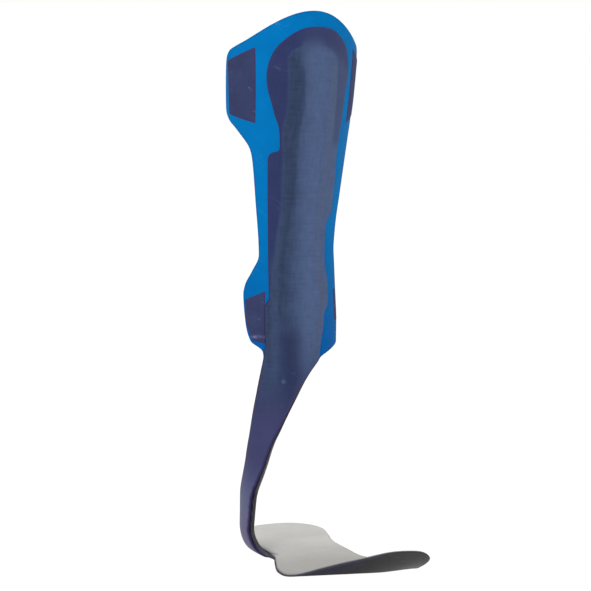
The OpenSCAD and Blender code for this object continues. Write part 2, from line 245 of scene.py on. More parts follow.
def sole_z(x, y):
    """Height of the underside, which has an arch and a slightly raised border, both medial."""
    along = clamp((-heel_line(x, y) - ARCH_BACK) / (ARCH_FRONT - ARCH_BACK))
    arch = ARCH_RISE * (1 - math.cos(2 * math.pi * along)) / 2
    medial = mix(0.1, 1, ease((x - ROOT_X) / 40))
    border = ease((x - 5) / 30) * ease((-y - 40) / 50) * ease((y - (TOE_TIP + 9)) / 30)
    return arch * medial + BORDER_RISE * border


def on_sole(x, y, up):
    """Point of the foot plate, up from its underside, square to the upturned toe."""
    d = heel_line(x, y)
    low = sole_z(x, y)
    if d > -TOE_RISE_AT:
        return (x, y, low + up)
    a = math.asin(min(1, (-d - TOE_RISE_AT) / TOE_RADIUS))
    back = up * math.sin(a)
    z = low + TOE_RADIUS * (1 - math.cos(a)) + up * math.cos(a)
    return (x + back * math.sin(TOE_SKEW), y + back * math.cos(TOE_SKEW), z)


def on_curl(u, a, out):
    """Point of the curl under the strut: angle a is 0 where it is upright, 90 where it is flat."""
    wall = on_strut(u, CURL_TOP, out)
    foot_y = mix(ROOT_REAR, ROOT_FRONT, u)
    low = sole_z(ROOT_X, foot_y)
    c, s = math.cos(math.radians(a)), math.sin(math.radians(a))
    return (ROOT_X - (ROOT_X - wall[0]) * c, mix(wall[1], foot_y, (a / 90)**2),
            max(FLOOR_GAP, CURL_TOP - (CURL_TOP - low + out) * s))


CURL_LEN = sum(math.dist(on_curl(0.5, a, 0), on_curl(0.5, a + 5, 0)) for a in range(0, 90, 5))
ROOT_REACH = CURL_LEN + STRUT_CUT - CURL_TOP
ROOT_MIDDLE = (ROOT_REAR + ROOT_FRONT) / 2


def root_half(climb):
    """Half width of the strut's root at a distance up from the plate."""
    return mix(STRUT_W, ROOT_REAR - ROOT_FRONT, clamp(1 - climb / CURL_LEN)**2) / 2


def across_root(y, out, over):
    """1 on the root and 0 off it. The change starts at a distance out beyond each of its two
    sides, and takes the distance over."""
    return ease((y - ROOT_FRONT + out) / over) * ease((ROOT_REAR + out - y) / over)


def on_foot(x, y, up):
    """Point of the foot plate and of the strut's root, which is laid out flat beyond ROOT_X."""
    sole = on_sole(x, y, up)
    climb = ROOT_X - x
    near = across_root(y, 18, 16)
    if climb <= 0 or near == 0:
        return sole
    u = 0.5 - (y - ROOT_MIDDLE) / root_half(climb) / 2
    if climb < CURL_LEN:
        high = on_curl(u, 90 * (1 - climb / CURL_LEN), -up)
    else:
        high = on_strut(u, CURL_TOP + climb - CURL_LEN, -up)
    return tuple(mix(a, b, near) for a, b in zip(sole, high))


def on_spine(s, z, out):
    """Point of the leg surface laid out flat, whose lowest stretch runs on down the curl."""
    if z >= CURL_TOP:
        return on_leg(angle(s, z), z, out)
    t = angle(s, CURL_TOP)
    rear, front = strut_edge(CURL_TOP, -1), strut_edge(CURL_TOP, 1)
    return on_curl((t - rear) / (front - rear), 90 * (CURL_TOP - z) / CURL_LEN, out)


# ---------------------------------------------------------------- closed outlines
def evenly(chain, step):
    """The same open chain with its points evenly about step apart."""
    lengths = [math.dist(a, b) for a, b in zip(chain, chain[1:])]
    total = sum(lengths)
    n = max(1, round(total / step))
    out, i, run = [chain[0]], 0, 0.0
    for k in range(1, n):
        want = total * k / n
        while run + lengths[i] < want:
            run += lengths[i]
            i += 1
        share = (want - run) / lengths[i]
        out.append(tuple(mix(a, b, share) for a, b in zip(chain[i], chain[i + 1])))
    return out + [chain[-1]]


def resample(loop, step):
    """The same closed loop with its points evenly about step apart."""
    return evenly(loop + loop[:1], step)[:-1]


def soften(points, passes, closed=True):
    """Rounds the corners of an evenly spaced loop, or of a chain whose ends stay."""
    for _ in range(passes):
        near = zip(points[-1:] + points[:-1], points, points[1:] + points[:1])
        new = [tuple((a + 2 * b + c) / 4 for a, b, c in zip(*trio)) for trio in near]
        points = new if closed else [points[0], *new[1:-1], points[-1]]
    return points


def cut_across(chain, step):
    """Closes a chain with a straight cut that runs back to its start."""
    return chain + evenly([chain[-1], chain[0]], step)[1:-1]


def area(loop):
    """Area of the loop, below 0 where it runs clockwise."""
    pairs = zip(loop, loop[1:] + loop[:1])
    return sum(a[0] * b[1] - b[0] * a[1] for a, b in pairs) / 2


def inset(loop, depth):
    """The loop moved inwards by depth. The loop runs anticlockwise."""
    out = []
    for a, b, c in zip(loop[-1:] + loop[:-1], loop, loop[1:] + loop[:1]):
        dx, dy = c[0] - a[0], c[1] - a[1]
        n = math.hypot(dx, dy)
        out.append((b[0] - dy / n * depth, b[1] + dx / n * depth))
    return out


def smooth_chain(points, steps=6):
    """Smooth chain through a few points."""
    out = []
    for i in range(len(points) - 1):
        a, b, c, d = (points[min(max(i + k, 0), len(points) - 1)] for k in (-1, 0, 1, 2))
        for k in range(steps):
            s = k / steps
            out.append(tuple(
                0.5 * (2 * q + (r - p) * s + (2 * p - 5 * q + 4 * r - w) * s**2
                       + (3 * q - p - 3 * r + w) * s**3)
                for p, q, r, w in zip(a, b, c, d)))
    return out + [points[-1]]


# ---------------------------------------------------------------- laminate meshes
class Lay:
    """Flat cut of one layer: its points, triangles, border, and each point's depth inside it."""
    # Shares of a step: from row to row of the grid, and from the grid to the loop round it
    ROW_PITCH = 0.87
    CLEARANCE = 0.62

    def __init__(self, outline, depths, step):
        n = len(outline)
        coords, self.depth = [], []
        for depth in depths:
            coords += inset(outline, depth)
            self.depth += [depth] * n
        last = coords[-n:]
        grid = self.fill(last, step)
        coords += grid
        self.depth += [depths[-1] + step] * len(grid)
        rings = [[k * n + i for i in range(n)] for k in range(len(depths))]
        edges = [(r[i], r[(i + 1) % n]) for r in rings[1:] for i in range(n)]
        found = geometry.delaunay_2d_cdt([Vector(p) for p in coords], edges, [rings[0]], 1, 1e-6)
        points, _, faces, source = found[:4]
        self.points = [tuple(p) for p in points]
        place = {s: i for i, olds in enumerate(source) for s in olds}
        self.depth = [max([self.depth[s] for s in olds], default=depths[-1]) for olds in source]
        self.border = [place[i] for i in rings[0]]
        self.faces = [tuple(f) for f in faces]

    @classmethod
    def fill(cls, loop, step):
        """Staggered grid of points inside the loop, clear of it by more than half a step."""
        bottom, top = min(y for _, y in loop), max(y for _, y in loop)
        cells = {}
        for x, y in loop:
            cells.setdefault((int(x // step), int(y // step)), []).append((x, y))
        out = []
        rows = int((top - bottom) / (step * cls.ROW_PITCH)) + 1
        for j in range(rows):
            y = bottom + (j + 0.5) * step * cls.ROW_PITCH
            cuts = sorted(
                mix(a[0], b[0], (y - a[1]) / (b[1] - a[1]))
                for a, b in zip(loop, loop[1:] + loop[:1]) if (a[1] > y) != (b[1] > y))
            for low, high in zip(cuts[::2], cuts[1::2]):
                first = math.ceil(low / step - 0.5 * (j % 2))
                for i in range(first, int(high / step) + 1):
                    x = (i + 0.5 * (j % 2)) * step
                    cx, cy = int(x // step), int(y // step)
                    near = [p for u in (-1, 0, 1) for v in (-1, 0, 1)
                            for p in cells.get((cx + u, cy + v), ())]
                    clear = all(math.dist((x, y), p) > cls.CLEARANCE * step for p in near)
                    if low < x < high and clear:
                        out.append((x, y))
        return out


def laminate(name, lay, place, low, high, marks=None):
    """Closed sheet over a flat cut. low and high give the heights of its two sides at a point of
    the cut, from the point and its depth inside the border. marks name values for the finish."""
    count = len(lay.points)
    verts = [place(x, y, high((x, y), d)) for (x, y), d in zip(lay.points, lay.depth)]
    verts += [place(x, y, low((x, y), d)) for (x, y), d in zip(lay.points, lay.depth)]
    faces = list(lay.faces) + [tuple(i + count for i in reversed(f)) for f in lay.faces]
    ring = lay.border
    for a, b in zip(ring, ring[1:] + ring[:1]):
        faces.append((b, a, a + count, b + count))
    mesh = bpy.data.meshes.new(name)
    mesh.from_pydata([Vector(v) * MM for v in verts], [], faces)
    mesh.validate()
    mesh.shade_smooth()
    cut = mesh.uv_layers.new(name="cut")
    flat_places = [(x * MM, y * MM) for x, y in lay.points]
    for corner, loop in zip(cut.data, mesh.loops):
        corner.uv = flat_places[loop.vertex_index % count]
    marked = {"depth": list(lay.depth) * 2, "inner": [0.0] * count + [1.0] * count}
    for mark, value in (marks or {}).items():
        marked[mark] = [value(p) for p in lay.points] * 2
    for mark, values in marked.items():
        mesh.attributes.new(mark, "FLOAT", "POINT").data.foreach_set("value", values)
    piece = bpy.data.objects.new(name, mesh)
    bpy.context.scene.collection.objects.link(piece)
    return piece


def rounded(radius):
    """How far a rounded edge drops at a depth inside the border."""
    def drop(depth):
        left = max(0.0, radius - depth)
        return radius - math.sqrt(max(0.0, radius**2 - left**2))
    return drop


def round_depths(radius):
    return [radius * share for share in (0, 0.1, 0.35, 0.7, 1)]


# ---------------------------------------------------------------- outlines of the leg pieces
shell_lateral = Curve(
    (SHELL_LOW, strut_edge(SHELL_LOW, -1)), (SHELL_LOW + 5, -38), (SHELL_LOW + 8, -42),
    (SHELL_LOW + 12, 8 - LOWER_WRAP), (SHELL_LOW + 25, 3 - LOWER_WRAP),
    (WAIST_Z - 36, 1 - LOWER_WRAP), (WAIST_Z - 29, 3 - LOWER_WRAP),
    (WAIST_Z - 18, -WAIST_WRAP - 7), (WAIST_Z - 6, -WAIST_WRAP),
    (calf_height(0.3), -WAIST_WRAP - 3), (TAB_LOW - 38, -WAIST_WRAP - 6),
    (TAB_LOW - 30, -WAIST_WRAP - 8), (TAB_LOW - 14, 10 - UPPER_WRAP),
    (TAB_LOW - 7, 2 - UPPER_WRAP), (TAB_LOW, -UPPER_WRAP - 1), (TAB_LOW + 22, -UPPER_WRAP),
    (TAB_TOP - 8, 2 - UPPER_WRAP), (TAB_TOP - 2, 6 - UPPER_WRAP), (TAB_TOP, 13 - UPPER_WRAP))
shell_medial = Curve(
    (SHELL_LOW, strut_edge(SHELL_LOW, 1)), (SHELL_LOW + 3, 36), (SHELL_LOW + 6, 50),
    (SHELL_LOW + 9.4, LOWER_WRAP + 10.5), (SHELL_LOW + 26, LOWER_WRAP + 6),
    (WAIST_Z - 42, LOWER_WRAP - 2), (WAIST_Z - 12, WAIST_WRAP + 7), (WAIST_Z, WAIST_WRAP + 4),
    (WAIST_Z + 16, WAIST_WRAP + 5), (calf_height(0.37), WAIST_WRAP + 11),
    (TAB_LOW - 32, WAIST_WRAP + 18), (TAB_LOW - 19, WAIST_WRAP + 22), (TAB_LOW, UPPER_WRAP),
    (TAB_LOW + 22, UPPER_WRAP), (TAB_TOP - 8, UPPER_WRAP - 2), (TAB_TOP - 2, UPPER_WRAP - 6),
    (TAB_TOP, UPPER_WRAP - 13))
panel_lateral = Curve(
    (SHELL_LOW, -PANEL_SIDE), (BULB_LOW, -PANEL_SIDE), (TAB_LOW - 15, -PANEL_SIDE - 1),
    (TAB_LOW - 4, 9 - BULB_WRAP), (TAB_LOW + 6, 6 - BULB_WRAP), (TAB_LOW + 16, 3 - BULB_WRAP),
    (TAB_TOP - 22, 2 - BULB_WRAP), (TAB_TOP - 12, 4 - BULB_WRAP), (TAB_TOP - 2, 9 - BULB_WRAP),
    (TAB_TOP + 7, 19 - BULB_WRAP), (BULB_TOP - 2, 28 - BULB_WRAP), (BULB_TOP, 36 - BULB_WRAP))
panel_medial = Curve(
    (SHELL_LOW, PANEL_SIDE), (BULB_LOW - 8, PANEL_SIDE), (BULB_LOW - 4, BULB_WRAP - 1),
    (TAB_LOW + 14, BULB_WRAP + 2), (TAB_TOP - 20, BULB_WRAP + 4), (TAB_TOP - 6, BULB_WRAP + 1),
    (TAB_TOP + 2, BULB_WRAP - 2.5), (TAB_TOP + 7, BULB_WRAP - 8),
    (BULB_TOP - 2, BULB_WRAP - 16), (BULB_TOP, BULB_WRAP - 24))
lateral_rail = Curve((RAIL_LOW, -30), (WAIST_Z, -31), (BULB_LOW - 3, -32), (BULB_LOW + 1, -29.5))
medial_rail = Curve(
    (SHELL_LOW, 22), (SHELL_LOW + 12, 25), (SHELL_LOW + 24, 28.3), (SHELL_LOW + 34, 29),
    (SHELL_LOW + 38, 34), (SHELL_LOW + 44, 34.5), (WAIST_Z - 26, 33), (WAIST_Z - 12, 28),
    (rail_height(0.08), 27), (rail_height(0.3), 28), (rail_height(0.41), 34),
    (rail_height(0.76), 36), (RAIL_TOP, 35))
ridge_low = SHELL_LOW - 32
ridge_lateral = Curve(
    (ridge_low, -44), (SHELL_LOW, -31), (WAIST_Z - 17, -29), (WAIST_Z + 6, -26),
    (rail_height(0.57), -22), (BULB_LOW + 4, -22), (TAB_LOW + 8, -17), (TAB_TOP - 10, -18),
    (TAB_TOP - 4, -15), (TAB_TOP, -8))
ridge_medial = Curve(
    (ridge_low, -15), (SHELL_LOW - 14, 2), (SHELL_LOW, 12), (SHELL_LOW + 12, 16.5),
    (SHELL_LOW + 25, 21), (WAIST_Z - 40, 24), (WAIST_Z, 21), (rail_height(0.57), 24),
    (BULB_LOW, 27), (TAB_LOW + 15, 26), (TAB_TOP - 10, 24), (TAB_TOP - 4, 20), (TAB_TOP, 12))
# The spine's lateral side below the rail, where it meets the lower strap patch
spine_foot = Curve((SHELL_LOW, strut_edge(SHELL_LOW, -1)), (SHELL_LOW + 12, -35),
                   (RAIL_LOW - 4, -34.5), (RAIL_LOW, -30))


def lifted(t, z):
    """Place on the flat cut of a point of the shell's border, raised with the crown."""
    return flat(t, z + crown(t, z))


LEG_STEP = 1.2


def leg_outline(bottom):
    """Outline of the shell with as much of the strut as lies above a height."""
    strut_zs = [z for z in spread(bottom, SHELL_LOW, 2) if z < SHELL_LOW]
    shell_zs = spread(SHELL_LOW, TAB_TOP, 1)
    loop = [flat(strut_edge(z, 1), z) for z in strut_zs]
    loop += [lifted(shell_medial(z), z) for z in shell_zs]
    loop += [lifted(t, TAB_TOP) for t in spread(shell_medial(TAB_TOP), shell_lateral(TAB_TOP), 2)]
    loop += [lifted(shell_lateral(z), z) for z in reversed(shell_zs)]
    loop += [flat(strut_edge(z, -1), z) for z in reversed(strut_zs)]
    return cut_across(soften(evenly(loop, LEG_STEP), 2, closed=False), LEG_STEP)


def spine_side(z, side):
    """Angle of the spine's border at a height: its outermost layer on that side."""
    if z < SHELL_LOW:
        z = max(z, CURL_TOP)
        bare = math.degrees(BARE_EDGE * ease((SHELL_LOW - z) / 20) / leg_r(z))
        return strut_edge(z, side) - side * bare
    if side > 0:
        here = [panel_medial(z), ridge_medial(z) if z < TAB_TOP else -90]
        here += [medial_rail(z)] if z <= BULB_LOW else []
        return max(here)
    here = [panel_lateral(z), ridge_lateral(z) if z < TAB_TOP else 90]
    here += [lateral_rail(z)] if RAIL_LOW <= z <= BULB_LOW + 1 else []
    here += [spine_foot(z)] if z < RAIL_LOW else []
    return min(here)


# The spine's skin ends where the curl is flat. Below CURL_TOP, z is its length down the curl.
SKIN_LOW = CURL_TOP - CURL_LEN


def spine_border(z, side):
    """Point of the spine's border on its flat cut."""
    return flat(spine_side(z, side), max(z, CURL_TOP))[0], z


def spine_outline():
    zs = spread(SKIN_LOW, BULB_TOP, 1.5)
    return [spine_border(z, 1) for z in zs] + [spine_border(z, -1) for z in reversed(zs)]


# Corners of the strap patches: angle round the leg, and height
PATCHES = {
    "upper_lateral_patch": [(-43, TAB_LOW - 10), (-43, TAB_TOP - 1), (-69, TAB_TOP - 11),
                            (-69, TAB_LOW - 3)],
    "upper_medial_patch": [(47, TAB_LOW - 10), (47, TAB_TOP - 1), (69, TAB_TOP - 11),
                           (69, TAB_LOW - 3)],
    "lower_lateral_patch": [(-35, SHELL_LOW + 11), (-34.2, SHELL_LOW + 25), (-33.6, WAIST_Z - 33),
                            (-55, WAIST_Z - 40), (-54, SHELL_LOW + 25), (-48, SHELL_LOW + 13)],
    "lower_medial_patch": [(51, SHELL_LOW + 26), (45.5, SHELL_LOW + 51), (50, SHELL_LOW + 51),
                           (54, SHELL_LOW + 39), (61, SHELL_LOW + 26)]}


def patch_outline(corners):
    """Straight-sided outline that runs anticlockwise."""
    loop = [flat(t, z) for t, z in corners]
    return loop if area(loop) > 0 else loop[::-1]


# ---------------------------------------------------------------- outline of the foot
HEEL_W = 66
BALL_W = 100
BALL_AT = 185
heel_mid = 3
heel_medial = heel_mid + HEEL_W / 2
heel_lateral = heel_mid - HEEL_W / 2
ball_y = HEEL_BACK - BALL_AT
ball_lateral = -BALL_W / 2 - 6
ball_medial = BALL_W / 2 - 4
MEDIAL_SIDE = [
    (heel_mid, HEEL_BACK - 0.1), (heel_medial - 17, HEEL_BACK - 2),
    (heel_medial - 7, HEEL_BACK - 10), (heel_medial - 1, HEEL_BACK - 22),
    (heel_medial, HEEL_BACK - 36), (heel_medial - 4, HEEL_BACK - 54),
    (27, -10), (23, -32), (20.3, -56), (21, -82),
    (ball_medial - 15, ball_y + 24), (ball_medial - 5, ball_y + 10),
    (ball_medial - 1.5, ball_y - 4), (ball_medial - 7.5, ball_y - 19),
    (ball_medial - 13, ball_y - 36), (28.5, TOE_TIP + 23),
    (25, TOE_TIP + 9), (17, TOE_TIP + 1.5), (6, TOE_TIP + 0.5)]
LATERAL_SIDE = [
    (-9, TOE_TIP + 4), (-24, TOE_TIP + 14), (-36, TOE_TIP + 23),
    (ball_lateral + 10, ball_y - 44), (ball_lateral + 4, ball_y - 31),
    (ball_lateral + 1, ball_y - 15), (ball_lateral, ball_y + 3),
    (ball_lateral + 1.5, ball_y + 18), (ball_lateral + 4, ball_y + 32),
    (ball_lateral + 11, ball_y + 53)]
HEEL_SIDE = [
    (heel_lateral, HEEL_BACK - 50), (heel_lateral + 1, HEEL_BACK - 32),
    (heel_lateral + 7, HEEL_BACK - 15), (heel_lateral + 17, HEEL_BACK - 4)]


def root_edge(climb, side):
    """Point of the root's rear (-1) or front (1) edge."""
    return (ROOT_X - climb, ROOT_MIDDLE - side * root_half(climb))


FOOT_STEP = 1.5


def foot_outline(reach):
    """Outline of the plate with the strut's root laid out flat, as far as reach beyond ROOT_X."""
    climbs = spread(14, reach, 4)
    front = [(ROOT_X - 5, ROOT_FRONT - 11), (ROOT_X - 3.8, ROOT_FRONT - 4),
             (ROOT_X - 7, ROOT_FRONT + 1)]
    front += [root_edge(c, 1) for c in climbs]
    rear = [root_edge(c, -1) for c in reversed(climbs)]
    rear += [(ROOT_X - 9, ROOT_REAR - 1), (ROOT_X - 4, ROOT_REAR + 4),
             (ROOT_X + 1, ROOT_REAR + 12)]
    chain = smooth_chain(rear + HEEL_SIDE + MEDIAL_SIDE + LATERAL_SIDE + front)
    return cut_across(evenly(chain, FOOT_STEP)[::-1], FOOT_STEP)


# ---------------------------------------------------------------- heights of the layers
def ridge_share(s, z):
    """How far a point is up the ridge: 0 on the panel beside it, 1 on its back."""
    t = angle(s, max(z, CURL_TOP))
    scale = math.radians(leg_r(z))
    lateral_flank = mix(9, 13, ease((z - WAIST_Z) / 60))
    medial_flank = mix(4.5, 12, ease((z - SHELL_LOW - 30) / 60))
    lateral = ease((t - ridge_lateral(z)) * scale / lateral_flank)
    medial = ease((ridge_medial(z) + 0.5 - t) * scale / medial_flank)
    return lateral * medial * ease((TAB_TOP - z) / 24) * ease((z - ridge_low + 5) / 50)


# How much of the slate is lost beside the ridge on the bulb, and how far painted shade turns the
# hollow above the strut navy; the hollow runs between two heights
BULB_LOSS = 0.6
HOLLOW_SHADE = 0.85
HOLLOW_LOW = SHELL_LOW - 50
HOLLOW_TOP = SHELL_LOW + 38


def slate_and_hollow_shade(p):
    """How slate the skin is: full on the ridge, medial of it and round its foot. It fades to navy
    lateral of the ridge, on the bulb, and down the strut, and painted shade turns it navy in the
    hollow above the strut."""
    s, z = p
    t = angle(s, max(z, CURL_TOP))
    scale = math.radians(leg_r(z))
    start = ridge_lateral(z) + mix(3, 0.5, ease((z - BULB_LOW) / 20))
    lateral = mix(1, ease((t - start) * scale / 3 + 0.5), ease((z - WAIST_Z + 50) / 50))
    on_bulb = ease((z - BULB_LOW) / 12)
    medial = mix(1, ease((ridge_medial(z) + 1 - t) * scale / 3), on_bulb * BULB_LOSS)
    arched_top = TAB_TOP - 9 * ((t - 2) / 24)**2
    ends = ease((arched_top - z) / 14 + 0.6) * ease((z - FLEX_TOP) / 80)
    # Painted shade: the hollow above the strut is darkened to navy.
    hollow_shade = ease((t + 29) / 15) * ease((6 - t) / 15)
    hollow_shade *= ease((z - HOLLOW_LOW) / 20) * ease((HOLLOW_TOP - z) / 26)
    return lateral * medial * ends * (1 - HOLLOW_SHADE * hollow_shade)


def spine_high(p, depth):
    """Outer side of the skin, which swells into the ridge and thins out at the foot."""
    taper = ease((p[1] - SKIN_LOW) / 6)
    rise = ease((depth + 0.3) / 1.6)
    return (SKIN_T + RIDGE_H * ridge_share(*p)) * rise * taper


SINK = 0.02


def spine_low(p, depth):
    """Underside of the skin: on the film, and below the shell on the bare laminate."""
    return -FILM_T * (1 - ease((p[1] - SHELL_LOW + 6) / 8)) - SINK


edge_drop = rounded(EDGE_R)


# The strut leans there: a depth square to its sides is this share of a level one
LEAN = 0.93


def strut_depth(s, z):
    """Depth inside the strut's side edges, near the cut that parts it from its root."""
    half = strut_half(z)
    middle = flat(strut_mid(z), z)[0]
    return max(0.0, half - abs(s - middle)) * LEAN


def laminate_low(p, depth):
    """Inner side of the carbon laminate, which thickens from the shell into the strut."""
    thick = mix(STRUT_T, LAMINATE_T, ease((p[1] - (SHELL_LOW - 18)) / 44))
    if p[1] < STRUT_CUT + 3:
        depth = strut_depth(*p)
    return -thick + edge_drop(depth)


def root_depth(x, y):
    """Depth inside the root's side edges, near the same cut."""
    return max(0.0, root_half(ROOT_X - x) - abs(y - ROOT_MIDDLE))


def foot_thick(p):
    """Thickness of the laminate: thin at the toe, thicker on the root that becomes the strut."""
    plate = mix(PLATE_T, TOE_T, ease((-p[1] - THIN_FROM) / (THIN_TO - THIN_FROM)))
    return mix(plate, STRUT_T, ease((ROOT_X - p[0]) / CURL_LEN * 1.6) * ease((p[1] + 90) / 20))


def strut_share(p):
    """0 on the foot plate, 1 on the strut's root."""
    return across_root(p[1], 9, 8) * ease((ROOT_X - p[0] - 6) / 16)


def foot_drop(p, depth):
    """How far the plate's edge is rounded, less where the plate is thin."""
    return edge_drop(depth) * min(1, foot_thick(p) / PLATE_T)


def foot_high(p, depth):
    if p[0] < ROOT_X - ROOT_REACH + 3:
        depth = root_depth(*p)
    return foot_thick(p) - foot_drop(p, depth)


def foot_low(p, depth):
    """Underside of the plate, which is the strut's outer side on the root and leaves room there
    for the skin."""
    return mix(foot_drop(p, depth), FILM_T, strut_share(p))


# ---------------------------------------------------------------- pieces
def on_shell(s, z, out):
    """Point out from a place on the rolled-out surface of the leg."""
    return on_leg(angle(s, z), z, out)


def make_film():
    lay = Lay(leg_outline(SHELL_LOW - 3), round_depths(FILM_R) + [1, 1.8], step=2.2)
    drop = rounded(FILM_R)
    film = laminate("shell_film", lay, on_shell, lambda p, d: -FILM_T, lambda p, d: -drop(d))
    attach(film, "leg")
    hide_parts("shell_outer_layer")
    return film


def make_shell_laminate():
    lay = Lay(leg_outline(STRUT_CUT), round_depths(EDGE_R), step=2.2)
    shell = laminate("shell_and_strut_laminate", lay, on_shell,
                     laminate_low, lambda p, d: -FILM_T)
    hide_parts("shell_inner_skin", "strut_upper_core", "strut_flexure_core")
    bend_at_ankle(shell)
    return shell


def make_spine():
    outline = soften(resample(spine_outline(), 1.2), 5)
    lay = Lay(outline, [0, 0.2, 0.5, 0.9, 1.4, 2.2], step=1.5)
    spine = laminate("spine_skin", lay, on_spine, spine_low, spine_high,
                     {"slate": slate_and_hollow_shade})
    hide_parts("spine_panel", "spine_ridge", "lateral_rail", "medial_rail",
                "strut_upper_face", "strut_flexure_face", "strut_lower_face")
    bend_at_ankle(spine)
    return spine


FOLD_AT = {"lower_lateral_patch": SHELL_LOW + 16}


def make_patch(name):
    """Strap patch of thin film, with a fold across it where FOLD_AT gives its height."""
    outline = soften(resample(patch_outline(PATCHES[name]), 0.8), 3)
    lay = Lay(outline, [0, 0.25, 0.6, 1.1, 1.8], step=1.6)
    fold_z = FOLD_AT.get(name, 0)

    def fold(p):
        return math.exp(-((p[1] - fold_z) / 0.9)**2)

    def high(p, depth):
        return PATCH_T * ease((depth + 0.2) / 1.1) + FOLD_RISE * fold(p) * ease((depth - 0.4) / 2)

    patch = laminate(name + "_film", lay, on_shell, lambda p, d: 0.0, high, {"fold": fold})
    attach(patch, "leg")
    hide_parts(name)
    return patch


def make_foot_laminate():
    lay = Lay(foot_outline(ROOT_REACH), round_depths(EDGE_R) + [2.1, 3.3], step=2)
    foot = laminate("foot_laminate", lay, on_foot, foot_low, foot_high, {"strut": strut_share})
    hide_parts("footplate", "toe_plate", "strut_lower_core")
    bend_at_toe(foot)
    return foot


COVER_REACH = 16
cover_drop = rounded(COVER_R)


def cover_fade(p):
    """How far the cover has thinned out, on its way up the root of the strut."""
    return ease((ROOT_X - p[0] - 4) / (COVER_REACH - 5)) * ease(strut_share(p) * 20)


def cover_shade(p):
    """How far the cover darkens into the laminate: full on the root, none on the plate."""
    return ease((ROOT_X + 5 - p[0]) / 9) * across_root(p[1], 7, 9)


def cover_high(p, depth):
    return foot_thick(p) + max(0, COVER_T * (1 - cover_fade(p)) - cover_drop(depth))


def make_cover():
    outline = inset(foot_outline(COVER_REACH), 0.9)
    lay = Lay(outline, round_depths(COVER_R) + [1.4, 2.6], step=2)
    cover = laminate("foot_cover", lay, on_foot, lambda p, d: foot_thick(p) - 0.05, cover_high,
                     {"root": cover_shade})
    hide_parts("footplate_cover", "toe_cover")
    bend_at_toe(cover)
    return cover


def bend_at_ankle(piece):
    """Bakes the piece's place into its mesh. It finds the point in the middle of the strut's
    flexing stretch, between its two heights, but nothing uses it, and the strut is not bent here.
    """
    flex_mid = (FLEX_LOW + FLEX_TOP) / 2
    x, y, _ = on_leg(strut_mid(flex_mid), flex_mid, 0)
    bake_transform(piece)


def bend_at_toe(piece):
    """Bakes the piece's place into its mesh. The plate is not bent here across the toe break,
    which lies askew like the toes.
    """
    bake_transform(piece)


# ---------------------------------------------------------------- recipes for finishes
def colour(red, green, blue):
    """A colour given as it looks, from 0 to 255, in the linear values that a shader takes."""
    return (*((c / 255 / 12.92 if c <= 10 else ((c / 255 + 0.055) / 1.055)**2.4)
              for c in (red, green, blue)), 1)


class Recipe:
    """Adds nodes to one tree and joins them up."""

    def __init__(self, tree):
        self.tree = tree

    def put(self, value, socket):
        """Joins an output to the socket, or sets the socket to a value."""
        if isinstance(value, bpy.types.NodeSocket):
            self.tree.links.new(value, socket)
        elif socket.type == "VECTOR":
            socket.default_value = value[:3]
        else:
            socket.default_value = value

    def node(self, kind, values=(), **settings):
        """New node with its settings. values feed its inputs, in order or by name."""
        made = self.tree.nodes.new("ShaderNode" + kind)
        for key, value in settings.items():
            setattr(made, key, value)
        pairs = values.items() if isinstance(values, dict) else enumerate(values)
        for key, value in pairs:
            self.put(value, made.inputs[key])
        return made

    def maths(self, operation, *values):
        return self.node("Math", values, operation=operation).outputs[0]

    def times(self, a, b):
        return self.maths("MULTIPLY", a, b)

    def plus(self, a, b):
        return self.maths("ADD", a, b)

    def from_to(self, value, low, high, start=0.0, end=1.0):
        """Smooth change from start, where value is low, to end, where it is high."""
        values = (value, low, high, start, end)
        made = self.node("MapRange", values, interpolation_type="SMOOTHSTEP")
        return made.outputs[0]

    def mix(self, share, a, b):
        return self.node("Mix", {0: share, 2: a, 3: b}).outputs[0]

    def mix_colours(self, share, a, b):
        return self.node("Mix", {0: share, 6: a, 7: b}, data_type="RGBA").outputs[2]

    def shade(self, paint, amount):
        """The colour made lighter or darker by a factor that changes over the surface."""
        return self.node("VectorMath", {0: paint, 3: amount}, operation="SCALE").outputs[0]

    def noise(self, place, scale, detail, bend=0.0):
        values = {"Vector": place, "Scale": scale, "Detail": detail, "Distortion": bend}
        return self.node("TexNoise", values).outputs["Fac"]

    def stretched(self, place, x, y):
        return self.node("VectorMath", (place, (x, y, 1)), operation="MULTIPLY").outputs[0]

    def parts(self, place):
        made = self.node("SeparateXYZ", (place,))
        return made.outputs[0], made.outputs[1]

    def mark(self, name):
        return self.node("Attribute", attribute_name=name).outputs["Fac"]

    def cut(self):
        """Place on the flat cut of the sheet, in metres."""
        return self.node("UVMap", uv_map="cut").outputs[0]

    def use(self, group, **values):
        """Places a node group with its own values, and returns its outputs."""
        made = self.tree.nodes.new("ShaderNodeGroup")
        made.node_tree = group
        for name, value in values.items():
            self.put(value, made.inputs[name])
        return made.outputs


SOCKETS = {"place": "NodeSocketVector", "paint": "NodeSocketColor"}


def make_group(name, takes, gives):
    """Empty node group, with its recipe, its inputs and the sockets of its outputs."""
    tree = bpy.data.node_groups.new(name, "ShaderNodeTree")
    for side, labels in (("INPUT", takes), ("OUTPUT", gives)):
        for label in labels:
            kind = SOCKETS.get(label, "NodeSocketFloat")
            tree.interface.new_socket(label, in_out=side, socket_type=kind)
    source = tree.nodes.new("NodeGroupInput")
    sink = tree.nodes.new("NodeGroupOutput")
    return tree, Recipe(tree), source.outputs, sink.inputs


def scaled_place(r, inputs, size):
    """A group's place, measured in one of its sizes."""
    share = r.maths("DIVIDE", 1.0, inputs[size])
    made = r.node("VectorMath", {0: inputs["place"], 3: share}, operation="SCALE")
    return made.outputs[0]


def make_clouds():
    """Soft patches of two sizes, from 0 to 1."""
    tree, r, inputs, gives = make_group("clouds", ["place", "size"], ["tone"])
    place = scaled_place(r, inputs, "size")
    broad = r.noise(place, 1.0, 2.0)
    fine = r.noise(place, 3.7, 3.0)
    r.put(r.mix(0.35, broad, fine), gives["tone"])
    return tree


